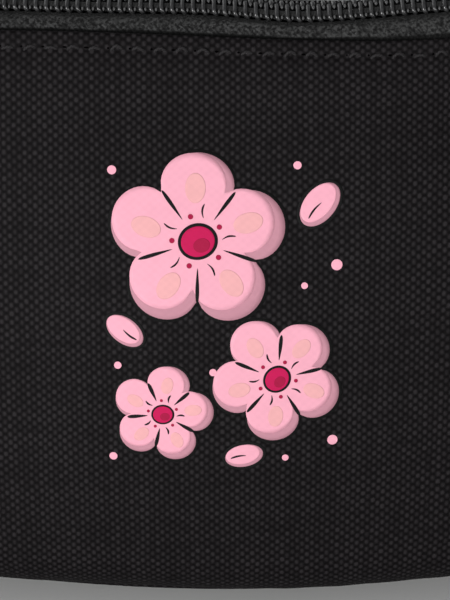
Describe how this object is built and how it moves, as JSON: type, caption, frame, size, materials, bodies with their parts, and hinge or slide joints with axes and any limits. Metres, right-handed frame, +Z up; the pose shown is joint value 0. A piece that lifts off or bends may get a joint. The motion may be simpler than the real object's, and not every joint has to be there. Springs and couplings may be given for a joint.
{
  "type": "zip pouch",
  "caption": "Small standing zip pouch of woven cloth, hollow inside, with a coil zip along the top, a slider with a flat pull and a webbing tab at each end.",
  "frame": {"origin": "on the ground under the middle of the pouch", "axes": "+X along the zip, to the right seen from the front; -Y is the front; +Z up"},
  "size_m": [0.222, 0.047, 0.089],
  "materials": {
    "canvas": "matt woven polyester",
    "zip_tape": "matt woven tape",
    "coil": "satin nylon",
    "painted_metal": "black enamel",
    "webbing": "woven webbing"
  },
  "bodies": {
    "pouch": {"front_panel": "canvas", "back_panel": "canvas", "base_panel": "canvas", "end_panel_left": "canvas", "end_panel_right": "canvas", "zip_tape_front": "zip_tape", "zip_tape_back": "zip_tape", "coil_front": "coil", "coil_back": "coil", "zip_stop": "painted_metal", "tab_left": "webbing", "tab_right": "webbing"},
    "slider": {"slider": "painted_metal"},
    "pull": {"pull": "painted_metal"}
  },
  "joints": [
    {"name": "zip_slide", "type": "slide", "parent": "pouch", "child": "slider", "axis": [1, 0, 0], "range_m": [0, 0.163], "deforming": ["coil_front", "coil_back"]},
    {"name": "pull_hinge", "type": "hinge", "parent": "slider", "child": "pull", "pos_m": [-0.0843, 0, 0.087], "axis": [0, -1, 0], "range_deg": [0, 175]}
  ]
}
